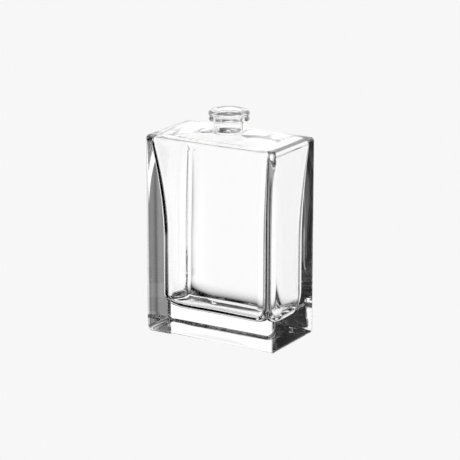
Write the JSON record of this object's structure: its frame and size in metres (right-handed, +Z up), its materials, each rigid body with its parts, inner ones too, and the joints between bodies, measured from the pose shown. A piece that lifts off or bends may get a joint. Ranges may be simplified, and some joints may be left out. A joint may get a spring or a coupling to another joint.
{
  "type": "aftershave bottle",
  "caption": "Empty rectangular clear glass aftershave bottle with a heavy base, a low crowned shoulder and a crimp neck.",
  "frame": {"origin": "middle of the base, on the plane the bottle stands on", "axes": "+Z up along the neck; +X along the wide side, so the two wide faces look along -Y (front) and +Y (back)"},
  "size_m": [0.0554, 0.03, 0.0853],
  "materials": {
    "clear_glass": "clear fire-polished flint glass"
  },
  "bodies": {
    "root": {"glass_bottle": "clear_glass"}
  },
  "joints": []
}
